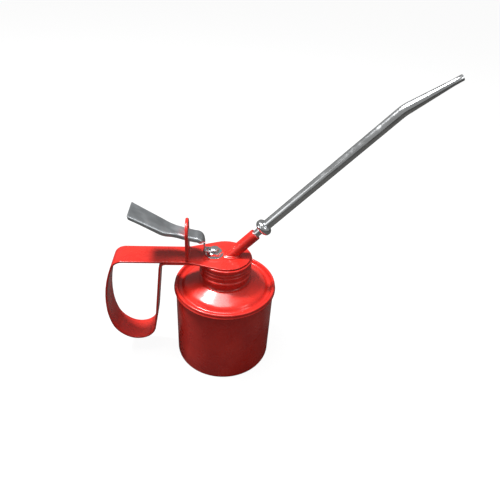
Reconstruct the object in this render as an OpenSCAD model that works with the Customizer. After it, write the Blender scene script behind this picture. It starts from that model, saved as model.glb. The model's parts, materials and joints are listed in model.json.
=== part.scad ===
// Thumb-lever pump oil can: a drawn steel can with a screwed head that carries the
// looped handle, the pump, the thumb lever and a long bent spout. Millimetres, +Z up.
// The origin is the centre of the base; the spout points along +X, the handle along -X.

/* [Can] */
// Outer radius of the can's wall
can_r = 36.6; // [34:0.1:40]
// Height of the can at the top of its rolled seam
seam_top = 65.9; // [60:0.1:75]
// How far the rolled seam stands out past the wall
seam_out = 1.4; // [1:0.1:2]
// Outer radius of the bottom corner
corner_r = 2.5; // [2:0.5:8]

/* [Head] */
// Outer radius of the screw cap's skirt
cap_r = 18.15; // [18:0.05:19]
// Height of the screw cap's flat top
cap_top = 89; // [88:0.5:92]
// Width of the handle strap
strap_w = 19.6; // [16:0.2:22]
// Thickness of the handle strap
strap_t = 1.4; // [1:0.1:2]
// Radius of the round plate at the strap's front end
plate_r = 17.8; // [17:0.1:20]

/* [Lever] */
// Thickness of the upright that the lever passes through
post_t = 2.2; // [1.6:0.1:2.4]
// Distance of the fulcrum behind the can's axis
fulcrum_x = 27.5; // [26:0.5:30]
// Height of the fulcrum edge that the lever rocks on
fulcrum_z = 105.7; // [104:0.1:107]
// Thickness of the lever's sheet
lever_t = 1.3; // [1:0.1:1.6]
// Depth of the lever's turned-down edges
lever_lip = 3.2; // [2.6:0.1:3.6]

/* [Pump] */
// Distance of the pump's axis behind the can's axis
pump_x = 8.4; // [8:0.1:9]
// Outer radius of the pump barrel
barrel_r = 6; // [5.5:0.1:6]
// Radius of the plunger rod
rod_r = 1.6; // [1.2:0.1:1.8]

/* [Spout] */
// Angle of the spout above the horizontal
spout_angle = 47.3; // [40:0.1:50]
// Outer radius of the spout tube
spout_r = 3.5; // [3:0.1:4]
// Outer radius of the spout's open tip
tip_r = 2; // [1.6:0.1:2.4]
// Length of the spout's axis from the handle plate to its bend
bend_s = 144; // [100:1:180]
// Angle that the tip turns down by at the bend
bend_angle = 13; // [5:1:20]
// Length of the taper past the bend
tip_len = 27; // [20:1:50]

/* [Hidden] */
$fn = 64;
sheet = 0.6;
play = 0.05;
thread_pitch = 2.6;
red = [0.78, 0.09, 0.06];
steel = [0.72, 0.73, 0.75];
brass = [0.78, 0.62, 0.32];
plate_top = cap_top + strap_t;
boss_h = 0.5;
boss_top = plate_top + boss_h;
half_w = strap_w / 2;
seam_r = can_r + seam_out;
seam_bottom = seam_top - 3.6;
neck_r = 16.9;
lip_z = cap_top - 2.2;
stub_r = 3;
socket_r = 4.2;
socket_bore = 3;
socket_x = 3.45;
nipple_r = 2.7;
valve_seat_s = -4.5;
socket_end_s = 24.5;
nut_s = 29;
nut_len = 6.5;
tube_s = 32.1;
tip_straight = 6;
spout_wall = 0.6;
bend_r = 25;
fork_z = boss_top + 3.35;
fork_t = 1.2;
rod_head_z = fork_z + fork_t + 0.1;
piston_z = 41.2;
foot_z = 25;
barrel_bottom = foot_z + 8;
ball_seat_z = foot_z + 5;
inlet_ball_r = 2.4;
outlet_ball_r = 2.1;
seat_r = 1.5;
barrel_bore = barrel_r - 1;
spring_top = cap_top - 4.4;

// ---- helpers ----

// Points on an arc about c, from angle a to angle b, in n steps
function arc(c, r, a, b, n = 6) =
    [for (i = [0:n]) let (t = a + (b - a) * i / n) [c[0] + r * cos(t), c[1] + r * sin(t)]];

// Unit left-hand normal of the step from p to q
function normal(p, q) = let (d = q - p) [-d[1], d[0]] / norm(d);

// A path moved sideways by d, mitred at its corners
function beside(pts, d) = [
    for (i = [0:len(pts) - 1])
        let (m = normal(pts[max(i - 1, 0)], pts[max(i, 1)]),
             n = normal(pts[min(i, len(pts) - 2)], pts[min(i + 1, len(pts) - 1)]),
             s = (m + n) / norm(m + n))
        pts[i] + s * d / (s * n)];

function reversed(v) = [for (i = [len(v) - 1:-1:0]) v[i]];

// The outline of a sheet between two distances beside a path
function band(pts, a, b) = concat(beside(pts, a), reversed(beside(pts, b)));

// A path of tangent arcs: each turn is [radius, degrees, steps], left turns positive
function walk(p, h, turns, i = 0) =
    i == len(turns) ? [p] :
    let (r = turns[i][0], a = turns[i][1], n = turns[i][2], side = sign(a),
         c = p + r * side * [-sin(h), cos(h)],
         from = h - 90 * side,
         pts = arc(c, r, from, from + a, n))
    concat([for (j = [0:n - 1]) pts[j]], walk(pts[n], h + a, turns, i + 1));

// A side view in X and Z made w wide, centred on the mid-plane
module across(w) {
    rotate([90, 0, 0]) linear_extrude(w, center = true) children();
}

module ring(ro, ri, z0, z1) {
    difference() {
        translate([0, 0, z0]) cylinder(r = ro, h = z1 - z0);
        translate([0, 0, z0 - 1]) cylinder(r = ri, h = z1 - z0 + 2);
    }
}

module at_pump() {
    translate([-pump_x, 0, 0]) children();
}

// The spout's own frame: its z runs up the spout's axis from the handle plate's top
module on_spout() {
    translate([socket_x, 0, plate_top]) rotate([0, 90 - spout_angle, 0]) children();
}

// What the head's flat plates are pierced by: the pump's stub and the spout socket
module head_holes() {
    at_pump() translate([0, 0, cap_top - 5]) cylinder(r = stub_r + 0.1, h = 10);
    on_spout() translate([0, 0, -12]) cylinder(r = socket_r + 0.1, h = 24);
}

// A close-wound helix as one tube; ends are at z0 and z1
module coil(mean_r, wire_r, z0, z1, turns, per_turn = 14, sides = 8) {
    n = turns * per_turn;
    points = [for (i = [0:n], k = [0:sides - 1])
        let (a = 360 * i / per_turn, b = 360 * k / sides, r = mean_r + wire_r * cos(b))
        [r * cos(a), r * sin(a), z0 + wire_r + (z1 - z0 - 2 * wire_r) * i / n + wire_r * sin(b)]];
    skins = [for (i = [0:n - 1], k = [0:sides - 1], half = [0, 1])
        let (a = i * sides + k, b = i * sides + (k + 1) % sides)
        half == 0 ? [a, b, a + sides] : [b, b + sides, a + sides]];
    ends = [[for (k = [sides - 1:-1:0]) k], [for (k = [0:sides - 1]) n * sides + k]];
    polyhedron(points, concat(skins, ends));
}

// ---- can ----

module body_cup() color(red) rotate_extrude() polygon(concat(
    [[0, 0]],
    arc([can_r - corner_r, corner_r], corner_r, -90, 0),
    [[can_r, seam_top - 1], [can_r - sheet, seam_top - 1]],
    arc([can_r - corner_r, corner_r], corner_r - sheet, 0, -90),
    [[0, sheet]]));

// The pressed top: its edge is rolled over the cup in a double seam, a groove and a raised
// roll run inside the seam, and the dome rises to a threaded neck
dome = concat(
    [[35, seam_top - 1], [34.4, seam_top - 1.9], [33.4, seam_top - 2.5], [32.3, seam_top - 2.4],
     [31.3, seam_top - 1.6], [30.3, seam_top - 0.4], [29, seam_top + 0.6], [27, seam_top + 1.5],
     [24.2, seam_top + 2.7], [21.6, seam_top + 3.8]],
    arc([18.9, seam_top + 6.3], 1.6, 290, 180, 5));
dome_inside = concat(
    arc([18.9, seam_top + 6.3], 2.2, 195, 290, 5),
    [[21.2, seam_top + 3.2], [24, seam_top + 2.1], [26.8, seam_top + 0.9], [28.8, seam_top],
     [29.9, seam_top - 0.9], [30.9, seam_top - 2.1], [32.1, seam_top - 3], [33.6, seam_top - 3.1],
     [34.9, seam_top - 2.6]]);
module shoulder_dome() color(red) {
    rotate_extrude() polygon(concat(
        [[can_r + play, seam_bottom]],
        arc([seam_r - 0.6, seam_bottom + 0.6], 0.6, -90, 60, 6),
        [[seam_r - 0.42, seam_top - 2]],
        arc([seam_r - 1.4, seam_top - 0.95], 0.95, 0, 90, 6),
        arc([36, seam_top - 0.7], 0.7, 90, 180, 4),
        dome,
        [[17.3, seam_top + 10.4], [neck_r, seam_top + 10.8], [neck_r, lip_z - 0.4], [neck_r - 0.3, lip_z],
         [neck_r - sheet, lip_z], [neck_r - sheet, seam_top + 6.6]],
        dome_inside,
        [[can_r - sheet - play, seam_top - 1.6], [can_r - sheet - play, seam_top - 0.9],
         [can_r + play, seam_top - 0.9]]));
    for (i = [0:2]) rotate_extrude() translate([neck_r - 0.1, 79.6 + i * thread_pitch])
        polygon([[0, -0.9], [0.6, 0], [0, 0.9]]);
}

module cap_seal() color([0.12, 0.12, 0.12]) ring(17.35, 14.2, lip_z + play, cap_top - 0.8);

// ---- head ----

module screw_cap() color(red) difference() {
    union() {
        rotate_extrude() polygon(concat(
            [[0, cap_top - 0.8], [cap_r - sheet, cap_top - 0.8], [cap_r - sheet, cap_top - 11.6]],
            arc([cap_r + 0.35, cap_top - 11.6], 0.7, 180, 450, 9),
            [[cap_r, cap_top - 10.6], [cap_r, cap_top - 2.3]],
            arc([cap_r - 0.05, cap_top - 0.9], 0.9, -80, 90, 8),
            [[0, cap_top]]));
        for (i = [0:2]) rotate_extrude() translate([cap_r - 0.2, 80.9 + i * thread_pitch])
            circle(r = 0.5);
    }
    head_holes();
}

// Side view of the handle's loop: along the top, down and round, and up to the strap again
loop_path = concat(
    [[-26, cap_top + strap_t / 2]],
    walk([-72, cap_top + strap_t / 2], 180,
         [[8.5, 68, 9], [95, 24, 8], [60, 14, 4], [22, 44, 8], [15, 50, 9], [13, 58, 9], [120, 6, 2]]),
    walk([-46.7, cap_top - 4.8 - play], 84, [[4.6, -84, 8]]),
    [[-20.2, cap_top - strap_t / 2 - play]]);
module handle_strap() color(red) difference() {
    union() {
        across(strap_w) polygon(band(loop_path, -strap_t / 2, strap_t / 2));
        translate([0, 0, cap_top]) linear_extrude(strap_t) plate_outline();
        at_pump() translate([0, 0, plate_top - 0.2]) cylinder(r1 = 9.6, r2 = 8, h = boss_h + 0.2);
    }
    head_holes();
}

// Plan of the round plate and the tongue that runs out of it, tangent to the circle
module plate_outline() {
    reach = 27;
    spread = atan2(sqrt(reach ^ 2 + half_w ^ 2 - plate_r ^ 2), plate_r);
    toe = atan2(half_w, -reach);
    touch = plate_r * [cos(toe - spread), sin(toe - spread)];
    circle(r = plate_r);
    polygon([[-reach, -half_w], [-reach, half_w], touch, [touch[0], -touch[1]]]);
}

// The upright that the lever passes through: a plate with a window, a round top and a
// fillet of braze at its foot; the lever rocks on the window's rounded lower edge
module fulcrum_post() color(red) {
    fillet = 1.2;
    near = post_t / 2;
    difference() {
        intersection() {
            translate([-fulcrum_x, 0, plate_top]) across(strap_w) polygon(concat(
                arc([near + fillet, fillet], fillet, -90, -180, 4),
                [[near, 40], [-near, 40]],
                arc([-near - fillet, fillet], fillet, 0, -90, 4)));
            union() {
                translate([-fulcrum_x - 5, -half_w, plate_top]) cube([10, strap_w, 18.9]);
                translate([-fulcrum_x - 5, 0, plate_top + 18.9]) rotate([0, 90, 0])
                    cylinder(r = half_w, h = 10);
            }
        }
        translate([-fulcrum_x - 2, -6.6, fulcrum_z]) cube([4, 13.2, 5.6]);
    }
    translate([-fulcrum_x, 0, fulcrum_z]) rotate([90, 0, 0])
        cylinder(r = near, h = 13.2, center = true);
}

// ---- lever ----

// The lever's upper surface in side view, from the thumb pad's end to the fork
lever_run = concat(
    [[-64.6, 127]],
    arc([-33.5, 132], 20, 238, 254, 4),
    [[-22, 107.75]],
    arc([-21.5, 101.2], 6.6, 84, 6, 7));
module lever_plan(inset = 0) {
    rows = [[-64.6 + inset, 9.5 - inset], [-43.5, 9.5 - inset], [-37, 6.2 - inset],
            [-19, 6.2 - inset], [-16.2, 5.2 - inset], [-15, 3.6 - inset], [-14, 2.9 - inset]];
    linear_extrude(60) polygon(concat(rows, reversed([for (p = rows) [p[0], -p[1]]])));
}
module thumb_lever() color(steel) difference() {
    union() {
        intersection() {
            across(30) polygon(band(lever_run, 0, -lever_lip));
            translate([0, 0, 80]) lever_plan();
        }
        translate([-14.93 - lever_t, -1.6, fork_z]) cube([lever_t, 3.2, 7.9]);
        translate([-14.93 - lever_t, -2.9, fork_z]) cube([8.6 + lever_t, 5.8, fork_t]);
    }
    intersection() {
        across(30) polygon(band(lever_run, -lever_t, -lever_lip - 3));
        translate([0, 0, 80]) lever_plan(1.2);
    }
    translate([-pump_x - 5.2, -1.85, fork_z - 1]) cube([10, 3.7, fork_t + 2]);
    translate([-fulcrum_x, 0, fulcrum_z]) rotate([90, 0, 0])
        cylinder(r = post_t / 2 + play, h = 30, center = true);
}

// ---- pump ----

module gland_nut() color(steel) at_pump() difference() {
    intersection() {
        translate([0, 0, boss_top + 0.5]) cylinder(r = 5.77, h = 2.6, $fn = 6);
        rotate_extrude() polygon([[0, 0], [5.8, 0], [5.8, boss_top + 2.6], [5, boss_top + 3.1],
                                  [0, boss_top + 3.1]]);
    }
    cylinder(r = stub_r + play, h = 120);
}

module gland_washer() color(steel) at_pump() ring(5.1, stub_r + 0.1, boss_top, boss_top + 0.5);

module gland_packing() color([0.2, 0.19, 0.17]) at_pump()
    ring(2.35, rod_r + play, boss_top + 0.9, boss_top + 2.9);

// The body under the cap: a clamped stub for the rod, a spring chamber, and the spout's seat
module pump_head() color(brass) difference() {
    union() {
        at_pump() translate([0, 0, cap_top - 11.5]) cylinder(r = 7, h = 8.5);
        at_pump() translate([0, 0, cap_top - 3]) cylinder(r = 5.6, h = 2.2);
        at_pump() cylinder_between(stub_r, cap_top - 1, boss_top + 3.1);
        intersection() {
            on_spout() translate([0, 0, -13]) cylinder(r = 5.2, h = 14);
            translate([-20, -20, 0]) cube([40, 40, cap_top - 0.8]);
        }
    }
    at_pump() {
        cylinder(r = rod_r + 0.08, h = 120);
        cylinder_between(2.4, boss_top + 0.9, 120);
        cylinder_between(barrel_r + 0.03, 0, cap_top - 8.5);
        cylinder_between(4.8, 0, spring_top);
    }
    on_spout() {
        cylinder_between(socket_r + 0.03, valve_seat_s, 30);
        cylinder_between(seat_r, -11, 0);
    }
}

module cylinder_between(r, z0, z1) {
    translate([0, 0, z0]) cylinder(r = r, h = z1 - z0);
}

module pump_barrel() color(brass) at_pump()
    ring(barrel_r, barrel_bore, barrel_bottom, cap_top - 8.5);

module return_spring() color(steel) at_pump()
    coil(3.2, 0.45, piston_z + 1.85, spring_top - play, 12);

module plunger_rod() color(steel) at_pump() {
    cylinder_between(3.2, rod_head_z, rod_head_z + 1.2);
    cylinder_between(rod_r, piston_z + 1.8, rod_head_z + 0.6);
    cylinder_between(1.45, piston_z - 3.4, piston_z + 2);
}

module piston_cup() color([0.35, 0.22, 0.12]) at_pump() difference() {
    cylinder_between(barrel_bore - play, piston_z, piston_z + 4);
    cylinder_between(4.15, piston_z + 1, piston_z + 5);
    cylinder_between(1.5, 0, 100);
}

module piston_washers() color(steel) at_pump() {
    ring(3.9, 1.5, piston_z + 1, piston_z + 1.8);
    ring(4.2, 1.5, piston_z - 0.8, piston_z);
}

module piston_nut() color(steel) at_pump() difference() {
    translate([0, 0, piston_z - 3.2]) cylinder(r = 3.17, h = 2.4, $fn = 6);
    cylinder(r = 1.5, h = 100);
}

module foot_valve() color(brass) at_pump() difference() {
    union() {
        cylinder_between(barrel_r, foot_z, barrel_bottom);
        cylinder_between(barrel_bore - 0.02, barrel_bottom, foot_z + 12.2);
    }
    cylinder_between(2.93, 0, foot_z + 3.6);
    cylinder_between(seat_r, 0, foot_z + 10);
    cylinder_between(3, ball_seat_z, 100);
    translate([0, 0, foot_z + 11.2]) rotate([90, 0, 0]) cylinder(r = 0.52, h = 20, center = true);
}

module inlet_ball() color(steel) at_pump()
    translate([0, 0, ball_seat_z + sqrt(inlet_ball_r ^ 2 - seat_r ^ 2) + 0.04]) sphere(r = inlet_ball_r);

module ball_keeper() color(steel) at_pump() translate([0, 0, foot_z + 11.2])
    rotate([90, 0, 0]) cylinder(r = 0.5, h = 2 * barrel_bore - 0.4, center = true);

module suction_tube() color(brass) at_pump() difference() {
    ring(2.9, 2.2, 3.5, foot_z + 3.5);
    translate([0, 0, 2]) rotate([0, 30, 0]) translate([-10, -10, -10]) cube([20, 20, 10]);
}

// ---- spout ----

module spout_socket() color(red) on_spout() difference() {
    cylinder_between(socket_r, valve_seat_s, socket_end_s);
    cylinder_between(socket_bore, valve_seat_s - 1, socket_end_s + 1);
}

module delivery_ball() color(steel) on_spout()
    translate([0, 0, valve_seat_s + sqrt(outlet_ball_r ^ 2 - seat_r ^ 2) + 0.04])
        sphere(r = outlet_ball_r);

module delivery_spring() color(steel) on_spout() coil(1.6, 0.3, -0.1, 12, 6);

module spout_nipple() color(steel) on_spout() difference() {
    union() {
        cylinder_between(socket_bore - 0.02, 12, socket_end_s);
        cylinder_between(nipple_r, socket_end_s, nut_s + 1.1);
        cylinder_between(3.4, nut_s + 1.1, tube_s - 0.6);
    }
    cylinder_between(seat_r, 0, 60);
}

module spout_washer() color([0.55, 0.12, 0.1]) on_spout() ring(3.4, 1.6, tube_s - 0.6, tube_s);

// The union nut: a hexagon with well rounded corners
module spout_nut() color(steel) on_spout() difference() {
    intersection() {
        translate([0, 0, nut_s]) cylinder(r = 6.35, h = nut_len, $fn = 6);
        rotate_extrude() polygon(concat(
            [[0, nut_s]], arc([3.1, nut_s + nut_len / 2], 3.1, -80, 80, 8), [[0, nut_s + nut_len]]));
    }
    cylinder_between(nipple_r + 0.1, 0, 100);
    cylinder_between(spout_r + 0.06, nut_s + 1.05, 100);
}

// The tube: straight, round the bend, then tapering to a short straight tip
module spout_tube() color(steel) on_spout() {
    ring(spout_r, spout_r - spout_wall, tube_s, bend_s);
    translate([bend_r, 0, bend_s]) {
        rotate([90, 0, 0]) rotate([0, 0, 180 - bend_angle]) rotate_extrude(angle = bend_angle)
            translate([bend_r, 0]) difference() {
                circle(r = spout_r);
                circle(r = spout_r - spout_wall);
            }
        rotate([0, bend_angle, 0]) translate([-bend_r, 0, 0]) {
            rotate_extrude() polygon([
                [spout_r - spout_wall, 0], [spout_r, 0], [tip_r, tip_len], [tip_r, tip_len + tip_straight],
                [tip_r - spout_wall, tip_len + tip_straight], [tip_r - spout_wall, tip_len]]);
        }
    }
}

body_cup();
shoulder_dome();
cap_seal();
screw_cap();
handle_strap();
fulcrum_post();
thumb_lever();
gland_nut();
gland_washer();
gland_packing();
pump_head();
pump_barrel();
return_spring();
plunger_rod();
piston_cup();
piston_washers();
piston_nut();
foot_valve();
inlet_ball();
ball_keeper();
suction_tube();
spout_socket();
delivery_ball();
delivery_spring();
spout_nipple();
spout_washer();
spout_nut();
spout_tube();
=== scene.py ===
# %% [markdown]
# # A thumb-lever pump oil can
# A drawn steel can holds the oil. Its screwed head carries a looped strap handle, a small
# plunger pump, a thumb lever that rocks in an upright post, and a long bent spout. The packed
# model gives every place and size, so this script only makes each visible piece fine enough
# to look at closely, and gives every piece its finish.

# %% Load the frame and keep its box
import json
import math
import bpy
import bmesh
from mathutils import Matrix, Vector


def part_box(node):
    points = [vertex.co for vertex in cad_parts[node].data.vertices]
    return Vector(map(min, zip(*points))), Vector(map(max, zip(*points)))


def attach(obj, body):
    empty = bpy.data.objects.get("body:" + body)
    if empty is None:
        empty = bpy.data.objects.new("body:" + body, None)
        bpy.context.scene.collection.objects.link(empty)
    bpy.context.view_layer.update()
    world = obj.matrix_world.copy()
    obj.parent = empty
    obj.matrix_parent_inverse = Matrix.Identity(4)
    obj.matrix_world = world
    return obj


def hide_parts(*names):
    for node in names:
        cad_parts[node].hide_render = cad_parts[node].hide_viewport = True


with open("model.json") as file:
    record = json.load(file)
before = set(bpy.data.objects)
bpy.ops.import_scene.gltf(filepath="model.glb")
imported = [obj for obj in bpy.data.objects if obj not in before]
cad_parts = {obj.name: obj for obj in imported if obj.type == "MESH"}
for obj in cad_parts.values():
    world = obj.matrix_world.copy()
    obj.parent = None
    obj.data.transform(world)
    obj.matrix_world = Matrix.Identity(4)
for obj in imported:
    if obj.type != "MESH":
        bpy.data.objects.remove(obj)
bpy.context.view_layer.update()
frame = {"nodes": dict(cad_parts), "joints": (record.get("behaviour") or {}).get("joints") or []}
scene = bpy.context.scene
nodes = frame["nodes"]
joints = {joint["name"]: joint for joint in frame["joints"]}
MM = 0.001

# %% [markdown]
# ## Measures taken from the frame
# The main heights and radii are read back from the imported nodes, so a piece made here always
# sits where the design says. The few values that a box can't give, such as a sheet's
# thickness or a bend's radius, are named here in millimetres.

# %% Places and sizes in millimetres
def high(node):
    """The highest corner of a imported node, in millimetres."""
    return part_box(node)[1] / MM


def low(node):
    """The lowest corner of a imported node, in millimetres."""
    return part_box(node)[0] / MM


can_r = high("body_cup").y
seam_r = high("shoulder_dome").y
neck_top = high("shoulder_dome").z
seam_bottom = low("shoulder_dome").z
seam_top = seam_bottom + 3.6
cap_top = high("screw_cap").z
cap_bottom = low("screw_cap").z
cap_r = 18.15
strap_t = 1.4
plate_top = cap_top + strap_t
boss_top = low("gland_washer").z
half_w = high("fulcrum_post").y
post_x = joints["lever_press"]["pos_m"][0] / MM
post_t = 2.2
pump_x = (low("gland_nut").x + high("gland_nut").x) / 2
fork_z = low("thumb_lever").z
sheet = 0.6
thread_pitch = 2.6
thread_h = 0.5
lathe_steps = 144
print("can radius %.1f, cap top %.1f, post at x %.1f" % (can_r, cap_top, post_x))

# %% [markdown]
# ## Modelling helpers
# Nearly every part of a spun or drawn oil can is round, so a lathe does most of the work: a
# half outline is stood up as a chain of edges and spun about the axis. Sheet pieces are one
# skin of faces, thickened by a Solidify modifier and softened by a Bevel modifier, which is
# how real strip behaves: one thickness everywhere and a small radius on each sheared edge.

# %% Outline helpers
def arc(cx, cz, r, a, b, n=8):
    """Points on an arc about (cx, cz), from a to b degrees."""
    turn = [math.radians(a + (b - a) * i / n) for i in range(n + 1)]
    return [(cx + r * math.cos(t), cz + r * math.sin(t)) for t in turn]


def flowing(points, n=5):
    """A smooth curve through the points, each span cut into n."""
    out = []
    for i in range(len(points) - 1):
        a, b, c, d = (Vector(points[min(max(k, 0), len(points) - 1)]) for k in range(i - 1, i + 3))
        for j in range(n):
            t = j / n
            p = 0.5 * (2 * b + (c - a) * t + (2 * a - 5 * b + 4 * c - d) * t**2
                       + (3 * b - a - 3 * c + d) * t**3)
            out.append(tuple(p))
    return out + [tuple(points[-1])]


def walk(start, heading, turns):
    """A path of tangent arcs. Each turn is (radius, degrees); left turns are positive."""
    points = [Vector(start)]
    for radius, degrees in turns:
        side = math.copysign(1, degrees)
        h = math.radians(heading)
        centre = points[-1] + radius * side * Vector((-math.sin(h), math.cos(h)))
        begin = heading - 90 * side
        n = max(4, round(abs(degrees) / 4))
        points += [Vector(p) for p in arc(centre.x, centre.y, radius, begin, begin + degrees, n)[1:]]
        heading += degrees
    return points


def step(x, a, b):
    """0 below a, 1 above b, and smooth between them."""
    t = min(max((x - a) / (b - a), 0), 1)
    return t * t * (3 - 2 * t)


# %% Mesh helpers
def lathe(outline, closed=True, steps=lathe_steps):
    """Spins a half outline of (radius, height) about the Z axis."""
    bm = bmesh.new()
    verts = [bm.verts.new((r, 0, z)) for r, z in outline]
    edges = [bm.edges.new(pair) for pair in zip(verts, verts[1:])]
    if closed:
        edges.append(bm.edges.new((verts[-1], verts[0])))
    bmesh.ops.spin(bm, geom=verts + edges, cent=(0, 0, 0), axis=(0, 0, 1), angle=math.tau,
                   steps=steps, use_merge=True)
    bmesh.ops.remove_doubles(bm, verts=bm.verts, dist=0.001)
    bmesh.ops.dissolve_degenerate(bm, edges=bm.edges, dist=0.0005)
    bmesh.ops.recalc_face_normals(bm, faces=bm.faces)
    return bm


def prism(outline, depth, axis="Z"):
    """A flat outline made a face, then extruded by depth along the axis."""
    bm = bmesh.new()
    face = bm.faces.new([bm.verts.new(p) for p in outline])
    grown = bmesh.ops.extrude_face_region(bm, geom=[face])["geom"]
    push = {"X": (depth, 0, 0), "Y": (0, depth, 0), "Z": (0, 0, depth)}[axis]
    moved = [v for v in grown if isinstance(v, bmesh.types.BMVert)]
    bmesh.ops.translate(bm, vec=push, verts=moved)
    bmesh.ops.recalc_face_normals(bm, faces=bm.faces)
    return bm


def soften(bm, width, segments=2, degrees=35):
    """Bevels every edge that turns by more than the angle."""
    limit = math.radians(degrees)
    sharp = [e for e in bm.edges if len(e.link_faces) == 2 and e.calc_face_angle() > limit]
    bmesh.ops.bevel(bm, geom=sharp, offset=width, segments=segments, profile=0.5,
                    affect="EDGES", material=-1)
    return bm


def hexagon(limits, corner_r, bore_r, steps=96, rounding=0.0):
    """A nut: its corners are cut back to each (height, radius) limit, then it is bored."""
    bm = bmesh.new()
    loops = []
    for z, limit in limits:
        loop = bmesh.ops.create_circle(bm, cap_ends=False, radius=1, segments=steps)["verts"]
        for v in loop:
            angle = math.atan2(v.co.y, v.co.x)
            flat = corner_r * math.cos(math.pi / 6) / math.cos(angle % (math.pi / 3) - math.pi / 6)
            r = min(flat * (1 - rounding) + corner_r * 0.95 * rounding, limit)
            v.co = (r * math.cos(angle), r * math.sin(angle), z)
        loops.append(loop)
    for z in (limits[-1][0], limits[0][0]):
        loops.append(bmesh.ops.create_circle(bm, cap_ends=False, radius=bore_r, segments=steps,
                                             matrix=Matrix.Translation((0, 0, z)))["verts"])
    edges = [[e for e in bm.edges if e.verts[0] in loop and e.verts[1] in loop] for loop in loops]
    for a, b in zip(edges, edges[1:] + edges[:1]):
        bmesh.ops.bridge_loops(bm, edges=a + b)
    bmesh.ops.recalc_face_normals(bm, faces=bm.faces)
    return bm


def piece(name, bm, material, body, replaced=(), place=None, crease=32, modifiers=()):
    """Finishes a mesh as a piece of the can: in metres, shaded, and riding on its body."""
    if place is not None:
        bmesh.ops.transform(bm, matrix=place, verts=bm.verts)
    bmesh.ops.scale(bm, vec=(MM, MM, MM), verts=bm.verts)
    for face in bm.faces:
        face.smooth = True
    for edge in bm.edges:
        edge.smooth = len(edge.link_faces) != 2 or edge.calc_face_angle() < math.radians(crease)
    mesh = bpy.data.meshes.new(name)
    bm.to_mesh(mesh)
    bm.free()
    mesh.materials.append(material)
    obj = bpy.data.objects.new(name, mesh)
    scene.collection.objects.link(obj)
    for kind, values in modifiers:
        modifier = obj.modifiers.new(kind.title(), kind)
        for key, value in values.items():
            setattr(modifier, key, value)
    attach(obj, body)
    if replaced:
        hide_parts(*replaced)
    print("%-18s %6d faces" % (name, len(mesh.polygons)))
    return obj


def sheet_metal(thickness, edge=0.35, offset=0.0):
    """The two modifiers that turn a skin into strip with softened edges."""
    return (("SOLIDIFY", {"thickness": thickness * MM, "offset": offset, "use_even_offset": True}),
            ("BEVEL", {"width": edge * MM, "segments": 3, "limit_method": "ANGLE",
                       "angle_limit": math.radians(50), "harden_normals": False}))


# %% [markdown]
# ## Shared surface effects
# Real finishes are never even. Three effects come back in many materials here: smudges that
# change the gloss, the faint ripple that sprayed enamel dries with, and fine scratches. Each
# is a node group with its own sockets, so one wiring serves every finish.

# %% Node group builder
def group(name, inputs, outputs):
    """An empty shader group with float inputs and the given outputs."""
    tree = bpy.data.node_groups.new(name, "ShaderNodeTree")
    for label, value in inputs:
        socket = tree.interface.new_socket(label, in_out="INPUT", socket_type="NodeSocketFloat")
        socket.default_value = value
    for label in outputs:
        tree.interface.new_socket(label, in_out="OUTPUT", socket_type="NodeSocketFloat")
    return tree, tree.nodes.new("NodeGroupInput"), tree.nodes.new("NodeGroupOutput")


def put(tree, kind, settings=None, **values):
    """Adds a node. A value that is a socket is linked; any other is set."""
    node = tree.nodes.new(kind)
    for key, value in (settings or {}).items():
        setattr(node, key, value)
    for key, value in values.items():
        name = key.replace("_", " ")
        socket = node.inputs[int(key[1:])] if key[0] == "i" and key[1:].isdigit() else node.inputs[name]
        if isinstance(value, bpy.types.NodeSocket):
            tree.links.new(value, socket)
        else:
            socket.default_value = value
    return node


# %% Smudges: a gloss that wanders between two values
smudge, smudge_in, smudge_out = group("smudge", [("Scale", 60), ("Low", 0.1), ("High", 0.3)],
                                      ["Value"])
where = put(smudge, "ShaderNodeTexCoord").outputs["Object"]
broad = put(smudge, "ShaderNodeTexNoise", Vector=where, Scale=smudge_in.outputs["Scale"], Detail=5.0,
            Roughness=0.62, Distortion=0.8)
span = put(smudge, "ShaderNodeMapRange", {"interpolation_type": "SMOOTHSTEP"},
           Value=broad.outputs["Fac"], From_Min=0.36, From_Max=0.68,
           To_Min=smudge_in.outputs["Low"], To_Max=smudge_in.outputs["High"])
smudge.links.new(span.outputs["Result"], smudge_out.inputs["Value"])

# %% Ripple: the orange peel of sprayed enamel, as a height in metres
ripple, ripple_in, ripple_out = group("ripple", [("Scale", 900), ("Depth", 1.0)], ["Height"])
where = put(ripple, "ShaderNodeTexCoord").outputs["Object"]
skin = put(ripple, "ShaderNodeTexNoise", Vector=where, Scale=ripple_in.outputs["Scale"], Detail=2.0)
sag = put(ripple, "ShaderNodeTexNoise", Vector=where, Scale=70.0, Detail=1.0)
both = put(ripple, "ShaderNodeMath", {"operation": "MULTIPLY_ADD"}, i0=sag.outputs["Fac"], i1=2.5,
           i2=skin.outputs["Fac"])
deep = put(ripple, "ShaderNodeMath", {"operation": "MULTIPLY"}, i0=both.outputs[0],
           i1=ripple_in.outputs["Depth"])
ripple.links.new(deep.outputs[0], ripple_out.inputs["Height"])

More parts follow.
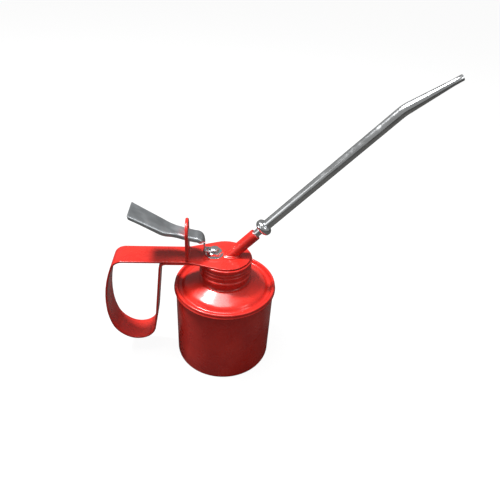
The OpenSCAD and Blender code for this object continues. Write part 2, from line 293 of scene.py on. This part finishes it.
# %% Scratches: thin broken lines where two stretched noises cross a level
scratch, scratch_in, scratch_out = group("scratches", [("Scale", 40), ("Amount", 0.5)], ["Mask"])
where = put(scratch, "ShaderNodeTexCoord").outputs["Object"]
hits = []
for turn, stretch in ((0.7, (1, 14, 1)), (-0.5, (12, 1, 1.5))):
    laid = put(scratch, "ShaderNodeMapping", Vector=where,
               Rotation=(turn, turn * 0.6, turn * 1.7), Scale=stretch)
    lines = put(scratch, "ShaderNodeTexNoise", Vector=laid.outputs["Vector"],
                Scale=scratch_in.outputs["Scale"], Detail=3.0, Roughness=0.7)
    level = put(scratch, "ShaderNodeMath", {"operation": "COMPARE"}, i0=lines.outputs["Fac"],
                i1=0.56, i2=0.006)
    hits.append(level.outputs[0])
patches = put(scratch, "ShaderNodeTexNoise", Vector=where, Scale=55.0, Detail=1.0)
few = put(scratch, "ShaderNodeMapRange", Value=patches.outputs["Fac"], From_Min=0.5, From_Max=0.65)
either = put(scratch, "ShaderNodeMath", {"operation": "MAXIMUM"}, i0=hits[0], i1=hits[1])
kept = put(scratch, "ShaderNodeMath", {"operation": "MULTIPLY"}, i0=either.outputs[0],
           i1=few.outputs["Result"])
faint = put(scratch, "ShaderNodeMath", {"operation": "MULTIPLY"}, i0=kept.outputs[0],
            i1=scratch_in.outputs["Amount"])
scratch.links.new(faint.outputs[0], scratch_out.inputs["Mask"])
print("groups", [tree.name for tree in bpy.data.node_groups])

# %% [markdown]
# ## Materials
# The can and its head are gloss red enamel: a strong pigment under a clear, hard skin. The
# lever is dull zinc plate, brushed along its length by the press. Nut, collar and spout are
# bright plate. The pump inside is turned brass with a leather cup. A material holds its own
# Principled shader, and takes its variation from the groups.

# %% Material helper
def use(tree, shared, **values):
    """Places a shared effect and gives it its values."""
    node = tree.nodes.new("ShaderNodeGroup")
    node.node_tree = shared
    for key, value in values.items():
        node.inputs[key].default_value = value
    return node.outputs[0]


def material(name, colours, gloss, metallic=0.0, bump=(900, 0.5, 0.00002), scratched=0.15, mottle=45.0,
             scratch_colour=(0.5, 0.5, 0.5, 1), **constant):
    """A finish: two mottled colours, a gloss range, a bump (scale, depth, metres) and scratches."""
    made = bpy.data.materials.new(name)
    made.use_nodes = True
    tree = made.node_tree
    shader = tree.nodes["Principled BSDF"]
    where = put(tree, "ShaderNodeTexCoord").outputs["Object"]
    patch = put(tree, "ShaderNodeTexNoise", Vector=where, Scale=mottle, Detail=6.0, Roughness=0.6)
    ramp = put(tree, "ShaderNodeValToRGB", Fac=patch.outputs["Fac"])
    ramp.color_ramp.elements[0].position, ramp.color_ramp.elements[1].position = 0.35, 0.68
    ramp.color_ramp.elements[0].color, ramp.color_ramp.elements[1].color = colours
    lines = use(tree, scratch, Scale=42, Amount=scratched)
    mixed = put(tree, "ShaderNodeMix", {"data_type": "RGBA"}, Factor=lines)
    tree.links.new(ramp.outputs["Color"], mixed.inputs[6])
    mixed.inputs[7].default_value = scratch_colour
    tree.links.new(mixed.outputs[2], shader.inputs["Base Color"])
    wandering = use(tree, smudge, Scale=mottle * 1.4, Low=gloss[0], High=gloss[1])
    tree.links.new(wandering, shader.inputs["Roughness"])
    relief = put(tree, "ShaderNodeBump", Height=use(tree, ripple, Scale=bump[0], Depth=bump[1]),
                 Strength=0.6, Distance=bump[2])
    tree.links.new(relief.outputs["Normal"], shader.inputs["Normal"])
    shader.inputs["Metallic"].default_value = metallic
    for key, value in constant.items():
        shader.inputs[key.replace("_", " ")].default_value = value
    return made


# %% The finishes
enamel = material("red_enamel", ((0.48, 0.014, 0.010, 1), (0.62, 0.026, 0.016, 1)), (0.22, 0.36),
                  scratched=0.10, scratch_colour=(0.75, 0.16, 0.12, 1), Coat_Weight=0.25,
                  Coat_Roughness=0.16, Specular_IOR_Level=0.42)
zinc = material("zinc_plate", ((0.50, 0.53, 0.56, 1), (0.68, 0.71, 0.74, 1)), (0.28, 0.42), 1.0,
                (1400, 0.8, 0.00002), 0.35, 60.0, (0.7, 0.71, 0.73, 1))
chrome = material("bright_plate", ((0.74, 0.76, 0.78, 1), (0.90, 0.92, 0.94, 1)), (0.14, 0.26), 1.0,
                  (1200, 0.3, 0.00001), 0.2, 80.0, (0.45, 0.44, 0.43, 1))
brass = material("turned_brass", ((0.55, 0.38, 0.14, 1), (0.74, 0.55, 0.24, 1)), (0.18, 0.34), 1.0)
spring_steel = material("spring_steel", ((0.42, 0.42, 0.43, 1), (0.58, 0.58, 0.58, 1)), (0.2, 0.3), 1.0)
rubber = material("seal_rubber", ((0.012, 0.012, 0.012, 1), (0.03, 0.03, 0.03, 1)), (0.55, 0.75))
leather = material("oiled_leather", ((0.10, 0.045, 0.02, 1), (0.22, 0.11, 0.05, 1)), (0.4, 0.6),
                   bump=(700, 2.0, 0.00005))
fibre = material("red_fibre", ((0.28, 0.04, 0.03, 1), (0.38, 0.06, 0.045, 1)), (0.5, 0.65))
print("materials", len(bpy.data.materials))

# %% [markdown]
# ## The can
# The cup is drawn from one disc, so it has no side seam: a straight wall, a round bottom
# corner and a base with a shallow pressed panel. The outline below is spun once, inner wall
# and all, so the can is a real shell.

# %% Drawn cup
corner = 1.8
outside = [(0, 0.9), (27, 0.9), (28.4, 0.65), (29.4, 0.15), (30.4, 0)]
outside += arc(can_r - corner, corner, corner, -90, 0, 12)
outside += [(can_r, z) for z in (20, 40, 60)] + [(can_r, seam_top - 1)]
inside = [(can_r - sheet, seam_top - 1), (can_r - sheet, 30)]
inside += arc(can_r - corner, corner, corner - sheet, 0, -90, 12)
inside += [(29, sheet + 0.4), (27, 1.5), (0, 1.5)]
piece("can_cup", lathe(outside + inside, closed=False), enamel, "can", ["body_cup"])

# %% [markdown]
# The top is pressed with a groove inside the rolled seam, then rises as a soft dome to the
# neck. Its crest and groove catch the light as two bright rings, so both are true arcs. The
# neck's thread is raised here as a helix: points of the spun skin move outwards where the
# thread passes.

# %% Top with rolled seam, groove, dome and neck
neck_r = 16.9
seam = [(can_r + 0.05, seam_bottom)] + arc(seam_r - 0.6, seam_bottom + 0.6, 0.6, -90, 55, 9)
seam += [(seam_r - 0.40, seam_top - 2.15), (seam_r - 0.45, seam_top - 1.4)]
seam += arc(seam_r - 1.4, seam_top - 0.95, 0.95, 0, 90, 9) + arc(36.0, seam_top - 0.7, 0.7, 90, 175, 6)
dome = flowing([(35.0, seam_top - 1.0), (34.4, seam_top - 1.9), (33.4, seam_top - 2.45),
                (32.3, seam_top - 2.4), (31.3, seam_top - 1.6), (30.3, seam_top - 0.45),
                (29.0, seam_top + 0.55), (27, seam_top + 1.5), (24.2, seam_top + 2.65),
                (21.6, seam_top + 3.8), (19.55, seam_top + 4.75)], 5)
neck_foot = seam_top + 10.8
throat = arc(18.9, seam_top + 6.3, 1.55, 285, 180, 8) + [(17.3, seam_top + 10.2), (neck_r, neck_foot)]
throat += [(neck_r, neck_foot + 0.5 * i) for i in range(1, 20) if neck_foot + 0.5 * i < neck_top - 0.5]
throat += [(neck_r, neck_top - 0.4), (neck_r - 0.3, neck_top), (neck_r - sheet, neck_top)]
back = [(neck_r - sheet, seam_top + 6.4), (16.9, seam_top + 5.2), (19.6, seam_top + 4.1),
        (24, seam_top + 2.0), (28.8, seam_top - 0.1), (30.9, seam_top - 2.2),
        (32.1, seam_top - 3.0), (33.6, seam_top - 3.1),
        (34.9, seam_top - 2.6), (can_r - sheet - 0.05, seam_top - 1.6),
        (can_r - sheet - 0.05, seam_top - 0.9), (can_r + 0.05, seam_top - 0.9)]
top = lathe(seam + dome + throat + back)


def raise_thread(bm, r_min, z_from, z_to, height, pitch, starts_at=0.0):
    """Moves the skin outwards along a right-hand helix that fades at both ends."""
    for v in bm.verts:
        r = math.hypot(v.co.x, v.co.y)
        if r > r_min and z_from - 1 < v.co.z < z_to + 1:
            turn = math.atan2(v.co.y, v.co.x) / math.tau
            phase = ((v.co.z - starts_at) / pitch - turn) % 1.0
            crest = math.exp(-((phase - 0.5) / 0.17) ** 2)
            fade = step(v.co.z, z_from - 0.8, z_from + 0.8)
            fade *= 1 - step(v.co.z, z_to - 0.8, z_to + 0.8)
            v.co.xy *= 1 + height * crest * fade / r


raise_thread(top, neck_r - 0.05, seam_top + 12.5, neck_top - 1, thread_h, thread_pitch)
piece("can_top", top, enamel, "can", ["shoulder_dome"])

# %% [markdown]
# ## The screw cap
# The cap's skirt is rolled against the neck, so the same thread shows through it from the
# outside as soft ridges, and its open edge is curled into a bead that stiffens it.

# %% Cap with rolled thread and bead
bead_z = cap_bottom + 0.7
skirt = [(cap_r - sheet, cap_top - 0.8), (cap_r - sheet, bead_z + 0.3)]
skirt += arc(cap_r + 0.3, bead_z, 0.72, 160, 410, 16) + [(cap_r + 0.12, bead_z + 1.0)]
skirt += [(cap_r, bead_z + 1.4 + 0.25 * i) for i in range(31)]
skirt += [(cap_r + 0.02, cap_top - 2.2)] + arc(cap_r - 0.05, cap_top - 0.9, 0.9, -70, 90, 14)
cap = lathe([(0.01, cap_top - 0.8)] + skirt + [(0.01, cap_top)])
raise_thread(cap, cap_r - 0.15, bead_z + 2.6, cap_top - 2.6, 0.55, thread_pitch, 0.6)
piece("cap_shell", cap, enamel, "head", ["screw_cap"])

# %% [markdown]
# ## The strap handle
# One strip of steel is both the round plate on the cap and the handle. It leaves the plate as
# a tongue, runs level, turns down round the fingers and comes back up, and its end is tucked
# under the level run. The skin starts as the plate's flat face, with its holes for the pump and
# the spout's socket, and the tongue's edge is then extruded step by step along the loop.

# %% The handle's route in side view
mid = cap_top + strap_t / 2
tongue_x = -27.0
route = [Vector((x, mid)) for x in (-36, -48, -60, -72)]
loop_turns = [(8.5, 68), (95, 24), (60, 14), (22, 44), (15, 50), (13, 58), (120, 6)]
route += walk((-72, mid), 180, loop_turns)[1:]
tail = walk((-46.7, mid - strap_t / 2 - 4.85), 84, [(4.6, -84)])
route += tail + [Vector((-31, tail[-1].y)), Vector((-20.2, tail[-1].y))]

# %% Plate outline and the loop drawn out of its tongue
plate_r = 17.8
pump_hole_r = 3.1
socket_hole_r = 3.6
socket_hole_shift = 0.65
across = 6
reach = math.hypot(tongue_x, half_w)
toe = math.atan2(half_w, tongue_x)
touch = toe - math.acos(plate_r / reach)
turned = [touch - 2 * touch * i / 72 for i in range(73)]
round_end = [(plate_r * math.cos(t), plate_r * math.sin(t)) for t in turned]
strap = bmesh.new()
tongue = [strap.verts.new((tongue_x, -half_w + 2 * half_w * i / across, mid))
          for i in range(across + 1)]
rim = [strap.verts.new((x, y, mid)) for x, y in round_end]
sloped = math.sin(math.atan2(joints["spout_turn"]["axis"][2], joints["spout_turn"]["axis"][0]))
socket_x = joints["spout_turn"]["pos_m"][0] / MM
rounds = [math.radians(10 * i) for i in range(36)]
pump_hole = [strap.verts.new((pump_x + pump_hole_r * math.cos(t), pump_hole_r * math.sin(t), mid))
             for t in rounds]
socket_hole = [strap.verts.new((socket_x - socket_hole_shift + socket_hole_r / sloped * math.cos(t),
                                socket_hole_r * math.sin(t), mid)) for t in rounds]
borders = []
for ring in (tongue + rim, pump_hole, socket_hole):
    borders += [strap.edges.new((ring[i], ring[(i + 1) % len(ring)])) for i in range(len(ring))]
bmesh.ops.triangle_fill(strap, edges=borders, use_beauty=True)
edge = [e for e in strap.edges if e.verts[0] in tongue and e.verts[1] in tongue]
here = Vector((tongue_x, mid))
for there in route:
    grown = bmesh.ops.extrude_edge_only(strap, edges=edge)["geom"]
    moved = [g for g in grown if isinstance(g, bmesh.types.BMVert)]
    bmesh.ops.translate(strap, vec=(there.x - here.x, 0, there.y - here.y), verts=moved)
    edge = [e for e in grown if isinstance(e, bmesh.types.BMEdge) and all(v in moved for v in e.verts)]
    here = there
bmesh.ops.recalc_face_normals(strap, faces=strap.faces)
handle = piece("handle_loop", strap, enamel, "head", ["handle_strap"],
               modifiers=sheet_metal(strap_t, 0.4))

# %% Pressed boss under the nut, blended into the plate
boss = lathe([(2.9, plate_top - 0.3), (11.2, plate_top - 0.3)]
             + flowing([(11.2, plate_top - 0.02), (10.2, plate_top + 0.03), (9.3, plate_top + 0.2),
                        (8.4, boss_top - 0.05), (7.6, boss_top - 0.01)], 5) + [(2.9, boss_top - 0.01)])
for v in boss.verts:
    if abs(v.co.y) < 3.4:
        half_chord = math.sqrt(1 - (v.co.y / socket_hole_r) ** 2)
        v.co.x = min(v.co.x, socket_x - pump_x - 3.5 / sloped * half_chord)
piece("handle_boss", boss, enamel, "head", place=Matrix.Translation((pump_x, 0, 0)))

# %% [markdown]
# ## The fulcrum post
# The upright is a plate with a round head and a window, brazed across the strap. The lever
# passes through the window and rocks on its lower edge. The skin is filled between the two
# outlines, then thickened, and every edge is rounded as thick enamel rounds it.

# %% Upright with its window
arch_z = plate_top + 18.9
window_sill = joints["lever_press"]["pos_m"][2] / MM
window = (6.6, window_sill, window_sill + 5.6)
outline = [(half_w, plate_top + 0.1), (-half_w, plate_top + 0.1)]
outline += arc(0, arch_z, half_w, 180, 0, 36)
opening = []
for cy, cz, a in ((window[0] - 0.8, window[1] + 0.8, -90), (window[0] - 0.8, window[2] - 0.8, 0),
                  (-window[0] + 0.8, window[2] - 0.8, 90), (-window[0] + 0.8, window[1] + 0.8, 180)):
    opening += arc(cy, cz, 0.8, a, a + 90, 4)
post = bmesh.new()
loops = []
for ring in (outline, opening):
    verts = [post.verts.new((post_x, y, z)) for y, z in ring]
    loops += [post.edges.new((verts[i], verts[(i + 1) % len(verts)])) for i in range(len(verts))]
bmesh.ops.triangle_fill(post, edges=loops, use_beauty=True)
bmesh.ops.recalc_face_normals(post, faces=post.faces)
piece("post_plate", post, enamel, "head", ["fulcrum_post"],
      modifiers=sheet_metal(post_t, 0.75))

# %% A fillet of braze on each side of its foot
braze_r = 1.1
braze_inset = 0.35
braze_y = -half_w + braze_inset
for side in (-1, 1):
    curve = [(post_x + side * (post_t / 2 + braze_r - braze_r * math.sin(t)), braze_y,
              plate_top + braze_r - braze_r * math.cos(t))
             for t in (math.radians(15 * i) for i in range(7))]
    curve += [(post_x + side * (post_t / 2 - 0.4), braze_y, z) for z in (plate_top + braze_r, plate_top)]
    braze = soften(prism(curve, 2 * half_w - 2 * braze_inset, "Y"), 0.15)
    piece("post_braze_%s" % ("rear" if side < 0 else "front"), braze, enamel, "head")

# %% [markdown]
# ## The thumb lever
# The lever is a pressed channel: a wide pad for the thumb, a waist that passes the post, and a
# nose that curls down to the pump. A grid of faces is laid along the lever's upper line, and
# each cross row takes the channel's section there: flange, rolled corner, flat top.

# %% The lever's upper line and its width
line = [(x, 127 + (x + 64.6) * (115.04 - 127) / (64.6 - 44.1)) for x in (-64.6, -61, -57, -53, -49)]
line += arc(-33.5, 132, 20, 238, 254, 6)
line += [(-34.5, 111.46), (-30, 110.12), (-26, 108.94), (-22, 107.95)]
line += arc(-21.5, 101.2, 6.6, 84, 4, 14)
line = flowing(line, 2)


def lever_half_width(x, z):
    """Half the channel's width: the pad, the waist, then the rounded nose."""
    nose = step(106.9 - z, 0, 6.0) if x > -22 else 0.0
    pad = 10.0 - 1.3 * min((x + 64.6) / 20.6, 1) - 2.5 * step(x, -44.5, -34)
    return pad * math.sqrt(max(1 - 0.93 * nose ** 1.3, 0.02))


# %% Channel section laid along the line
def section(w, lip, r=1.7):
    """Half of the channel's cross-section: (side, drop) from the middle of its top."""
    r = min(r, w * 0.45)
    flat = [((w - r) * i / 5, 0.0) for i in range(5)]
    rolled = [(w - r + r * math.sin(t), -r + r * math.cos(t))
              for t in (math.radians(15 * i) for i in range(7))]
    flange = [(w, -r - (lip - r) * i / 4) for i in range(1, 5)]
    return flat + rolled + flange


count = len(section(5, 3))
lever = bmesh.new()
bmesh.ops.create_grid(lever, x_segments=len(line) - 1, y_segments=2 * count - 2, size=1)
for v in lever.verts:
    i = round((v.co.x + 1) / 2 * (len(line) - 1))
    j = round((v.co.y + 1) / 2 * (2 * count - 2)) - (count - 1)
    x, z = line[i]
    ahead = Vector(line[min(i + 1, len(line) - 1)]) - Vector(line[max(i - 1, 0)])
    tangent = ahead.normalized()
    w = lever_half_width(x, z)
    side, drop = section(w - 0.02, 2.4 + 0.7 * step(x, -60, -40))[abs(j)]
    v.co = (max(x - drop * tangent.y, line[0][0]), math.copysign(side, j) if j else 0.0,
            z + drop * tangent.x)
bmesh.ops.recalc_face_normals(lever, faces=lever.faces)
if sum(f.normal.z for f in lever.faces) < 0:
    bmesh.ops.reverse_faces(lever, faces=lever.faces)
piece("lever_channel", lever, zinc, "lever", ["thumb_lever"],
      modifiers=sheet_metal(1.1, 0.3, -1.0))

# %% [markdown]
# A small fork hangs from the nose. Its two prongs reach under the plunger's head, so pressing
# the pad down pulls the plunger up against its spring.

# %% Fork that lifts the plunger
fork_t = 1.2
shank_x = -14.93
shank_back = shank_x - 1.3
near_side = [(shank_back, -1.6), (shank_x - 0.2, -2.9), (-6.8, -2.9), (-6.33, -2.5), (-6.33, -1.85),
             (-12.4, -1.85)]
prongs = near_side + arc(-12.0, 0, 1.85, 250, 110, 8) + [(x, -y) for x, y in reversed(near_side)]
fork = soften(prism([(x, y, fork_z) for x, y in prongs], fork_t), 0.2)
piece("lever_fork", fork, zinc, "lever")
shank = prism([(x, y, fork_z + 0.2) for x, y in
               ((shank_back, -1.6), (shank_x, -1.6), (shank_x, 1.6), (shank_back, 1.6))], 8.0)
piece("lever_shank", soften(shank, 0.25), zinc, "lever")

# %% [markdown]
# ## The gland
# The nut clamps the pump to the cap. Its corners are chamfered by a cone, so each flat ends in
# a curve; here the hexagon's radius is simply held under a limit that shrinks near the faces.

# %% Gland nut, washer, stub and plunger head
at_pump = Matrix.Translation((pump_x, 0, 0))
nut_z = boss_top + 0.5
nut_corner_r = 5.77
nut_limits = [(nut_z, 5.3), (nut_z + 0.35, nut_corner_r), (nut_z + 1.9, nut_corner_r),
              (nut_z + 2.35, 5.45), (nut_z + 2.6, 5.0)]
nut = hexagon(nut_limits, nut_corner_r, 3.02)
piece("gland_nut_bright", nut, chrome, "head", ["gland_nut"], at_pump, crease=20)
washer = lathe([(3.05, boss_top), (6.2, boss_top)] + arc(6.2, boss_top + 0.25, 0.25, -90, 90, 5)
               + [(3.05, boss_top + 0.5)], steps=72)
piece("gland_washer_bright", washer, chrome, "head", ["gland_washer"], at_pump)
rod_top = high("plunger_rod").z
rod_low = low("plunger_rod").z
rod = lathe([(0.01, rod_low), (1.45, rod_low), (1.45, rod_low + 5.2), (1.6, rod_low + 5.3),
             (1.6, rod_top - 1.2), (2.9, rod_top - 1.2)] + arc(2.75, rod_top - 0.85, 0.4, -60, 60, 5)
            + flowing([(2.7, rod_top - 0.42), (1.8, rod_top - 0.12), (0.9, rod_top - 0.02),
                       (0.01, rod_top)], 4),
            closed=False, steps=72)
piece("plunger_bright", rod, chrome, "plunger", ["plunger_rod"], at_pump)

# %% [markdown]
# ## The spout
# The spout grows out of the plate at an angle. A red socket holds a bright nipple; a round
# union nut draws the tube down on a fibre washer. The tube is straight, bends once, and tapers
# to the tip. All of it is modelled standing upright and then laid along the spout's own axis,
# which the frame's turning joint gives.

# %% The spout's own axis
turning = joints["spout_turn"]
foot = Vector(turning["pos_m"]) / MM
slope = math.atan2(turning["axis"][2], turning["axis"][0])
on_spout = Matrix.Translation(foot) @ Matrix.Rotation(math.pi / 2 - slope, 4, "Y")
print("spout rises at %.1f degrees" % math.degrees(slope))

# %% Socket with its brazed foot, nipple and washer
socket_end = 24.5
socket = lathe([(3.02, -4.5), (4.2, -4.5), (4.2, 0), (4.2, 10), (4.2, 20)]
               + arc(3.85, socket_end - 0.35, 0.35, 0, 90, 5) + arc(3.4, socket_end - 0.38, 0.38, 90, 180, 4)
               + [(3.02, 20)], steps=96)
piece("socket_tube", socket, enamel, "head", ["spout_socket"], on_spout)
nipple = lathe([(1.62, 12), (2.95, 12), (2.95, socket_end - 0.2), (2.7, socket_end), (2.62, 26.4),
                (2.7, 28.9), (2.7, 30.1), (3.4, 30.1), (3.4, 31.47), (1.62, 31.47)], steps=72)
piece("nipple_bright", nipple, chrome, "head", ["spout_nipple"], on_spout)
fillet = bmesh.new()
loops = []
for grow, lift in ((0.0, 1.5), (0.25, 0.75), (0.75, 0.25), (1.5, -0.02)):
    made = bmesh.ops.create_circle(fillet, radius=1, segments=72, cap_ends=False)["verts"]
    for v in made:
        a = math.atan2(v.co.y, v.co.x)
        r = 4.2 + grow
        v.co = (foot.x + r * math.cos(a) / math.sin(slope) + lift / math.tan(slope),
                r * math.sin(a), plate_top + lift)
    loops.append([e for e in fillet.edges if e.verts[0] in made and e.verts[1] in made])
for a, b in zip(loops, loops[1:]):
    bmesh.ops.bridge_loops(fillet, edges=a + b)
bmesh.ops.recalc_face_normals(fillet, faces=fillet.faces)
piece("socket_braze", fillet, enamel, "head",
      modifiers=(("SOLIDIFY", {"thickness": 0.3 * MM, "offset": -1.0}),))

# %% Union nut: a turned bead with six shallow flats
nut_len = 6.5
nut_from = 29.0
belly = arc(3.1, nut_from + nut_len / 2, 3.1, -84, 84, 20)
limits = [(z, r) for r, z in belly]
union_nut = hexagon(limits, 6.9, 2.8, steps=120, rounding=0.25)
piece("union_nut_bright", union_nut, chrome, "spout", ["spout_nut"], on_spout, crease=24)

# %% Spout tube: straight, bend, taper, straight tip, and its mouth
tube_from = 32.1
bend_at = 144.0
bend_r = 25.0
bend = 13.0
taper = 27.0
tip = 6.0
tube_r = 3.5
tip_r = 2.0
stations = [(Vector((0, s)), 0.0, tube_r) for s in (tube_from, 40, 60, 80, 100, 120, 140, bend_at)]
for i in range(1, 11):
    a = math.radians(bend * i / 10)
    stations.append((Vector((bend_r - bend_r * math.cos(a), bend_at + bend_r * math.sin(a))), a,
                     tube_r))
last, lean, _ = stations[-1]
tapered = [(taper * i / 8, tube_r - (tube_r - tip_r) * i / 8) for i in range(1, 9)]
for s, r in tapered + [(taper + tip - 0.2, tip_r), (taper + tip, tip_r - 0.15)]:
    stations.append((last + s * Vector((math.sin(lean), math.cos(lean))), lean, r))
end_point = stations[-1][0]
for s, r in ((0.0, 1.5), (-0.2, 1.4), (-12.0, 1.4)):
    stations.append((end_point + s * Vector((math.sin(lean), math.cos(lean))), lean, r))
tube = bmesh.new()
previous = None
for at, a, r in stations:
    turn = Matrix.Translation((at.x, 0, at.y)) @ Matrix.Rotation(a, 4, "Y")
    made = bmesh.ops.create_circle(tube, radius=r, segments=64, cap_ends=previous is None,
                                   matrix=turn)["verts"]
    loop = [e for e in tube.edges if e.verts[0] in made and e.verts[1] in made]
    if previous:
        bmesh.ops.bridge_loops(tube, edges=previous + loop)
    previous = loop
bmesh.ops.contextual_create(tube, geom=previous)
bmesh.ops.recalc_face_normals(tube, faces=tube.faces)
piece("spout_tube_bright", tube, chrome, "spout", ["spout_tube"], on_spout, crease=40)

# %% [markdown]
# ## Pieces kept from the frame
# The pump's inner pieces already have their true shape. They keep their meshes, and each takes
# the finish of its metal, rubber, leather or fibre.

# %% Finishes for the kept nodes
finishes = {
    brass: ("pump_head", "pump_barrel", "foot_valve", "suction_tube"),
    spring_steel: ("return_spring", "inlet_ball", "ball_keeper", "delivery_ball", "delivery_spring"),
    rubber: ("cap_seal", "gland_packing"),
    leather: ("piston_cup",),
    zinc: ("piston_washers", "piston_nut"),
    fibre: ("spout_washer",),
}
for finish, names in finishes.items():
    for name in names:
        nodes[name].data.materials.clear()
        nodes[name].data.materials.append(finish)
print("kept nodes", sum(len(names) for names in finishes.values()))

# %% [markdown]
# ## Studio
# A small key lamp stands high on the left and a wide box hangs overhead. Two weaker lamps fill
# the front: the edge light on the right, and the strip low on the left. The floor and the
# background are pale only to the camera. To the lighting both are dark, which keeps the gloss
# deep, but it is a stage trick and not how a pale sweep would really light the can.

# %% Floor
floor_bm = bmesh.new()
bmesh.ops.create_grid(floor_bm, x_segments=1, y_segments=1, size=8.0)
floor_mesh = bpy.data.meshes.new("floor")
floor_bm.to_mesh(floor_mesh)
floor_bm.free()
floor = bpy.data.objects.new("floor", floor_mesh)
scene.collection.objects.link(floor)
paper = bpy.data.materials.new("paper")
paper.use_nodes = True
paper_tree = paper.node_tree
matt = paper_tree.nodes["Principled BSDF"]
matt.inputs["Base Color"].default_value = (0.06, 0.058, 0.055, 1)
matt.inputs["Roughness"].default_value = 0.9
matt.inputs["Specular IOR Level"].default_value = 0.1
pale_paint = put(paper_tree, "ShaderNodeBsdfDiffuse", Color=(0.9, 0.9, 0.9, 1))
glow = put(paper_tree, "ShaderNodeEmission", Color=(1, 1, 1, 1), Strength=1.04)
seen = put(paper_tree, "ShaderNodeMixShader", Fac=0.9)
paper_tree.links.new(pale_paint.outputs[0], seen.inputs[1])
paper_tree.links.new(glow.outputs[0], seen.inputs[2])
floor_path = put(paper_tree, "ShaderNodeLightPath")
both_ways = put(paper_tree, "ShaderNodeMixShader", Fac=floor_path.outputs["Is Camera Ray"])
paper_tree.links.new(matt.outputs[0], both_ways.inputs[1])
paper_tree.links.new(seen.outputs[0], both_ways.inputs[2])
paper_tree.links.new(both_ways.outputs[0], paper_tree.nodes["Material Output"].inputs["Surface"])
floor.data.materials.append(paper)

# %% Lamps and world
def lamp(name, place, aim, size, power, colour=(1, 1, 1)):
    """A square area lamp at a place, turned to its aim. Both are in metres."""
    light = bpy.data.lights.new(name, "AREA")
    light.shape, light.size, light.energy, light.color = "SQUARE", size, power, colour
    obj = bpy.data.objects.new(name, light)
    scene.collection.objects.link(obj)
    obj.location = place
    obj.rotation_euler = (Vector(aim) - Vector(place)).to_track_quat("-Z", "Y").to_euler()


lamp("key", (-0.44, 0.14, 1.15), (-0.02, 0, 0.08), 0.16, 20)
lamp("overhead", (-0.12, -0.05, 1.1), (0.0, 0, 0.08), 0.5, 8)
lamp("edge_light", (0.85, -0.62, 0.95), (0.0, 0, 0.1), 0.4, 1.8)
lamp("strip", (-1.3, -0.7, 0.55), (0.05, 0, 0.15), 0.8, 1.9)
world = bpy.data.worlds.new("studio")
scene.world = world
world.use_nodes = True
world_tree = world.node_tree
dim = world_tree.nodes["Background"]
dim.inputs["Color"].default_value = (0.27, 0.27, 0.265, 1)
pale_sky = put(world_tree, "ShaderNodeBackground", Color=(0.97, 0.97, 0.97, 1))
sky_path = put(world_tree, "ShaderNodeLightPath")
sky = put(world_tree, "ShaderNodeMixShader", Fac=sky_path.outputs["Is Camera Ray"])
world_tree.links.new(dim.outputs[0], sky.inputs[1])
world_tree.links.new(pale_sky.outputs[0], sky.inputs[2])
world_tree.links.new(sky.outputs[0], world_tree.nodes["World Output"].inputs["Surface"])
scene.view_settings.view_transform = "Standard"

# %% Camera
azimuth, elevation, roll = math.radians(-5.894), math.radians(34.852), math.radians(4.242)
target = Vector((0.01694, 0, 0.09485))
back_axis = Vector((math.sin(azimuth) * math.cos(elevation), -math.cos(azimuth) * math.cos(elevation),
                    math.sin(elevation)))
level = (-back_axis).cross(Vector((0, 0, 1))).normalized()
upright = level.cross(-back_axis)
right = level * math.cos(roll) + upright * math.sin(roll)
up = upright * math.cos(roll) - level * math.sin(roll)
camera_data = bpy.data.cameras.new("camera")
camera_data.sensor_width = 36
camera_data.lens = 31.155
camera = bpy.data.objects.new("camera", camera_data)
scene.collection.objects.link(camera)
camera_distance = 0.31013
facing = Matrix((right, up, back_axis)).transposed().to_4x4()
camera.matrix_world = Matrix.Translation(target + back_axis * camera_distance) @ facing
camera_data.clip_start = 0.01
scene.camera = camera
print("camera at", [round(v, 3) for v in camera.location])
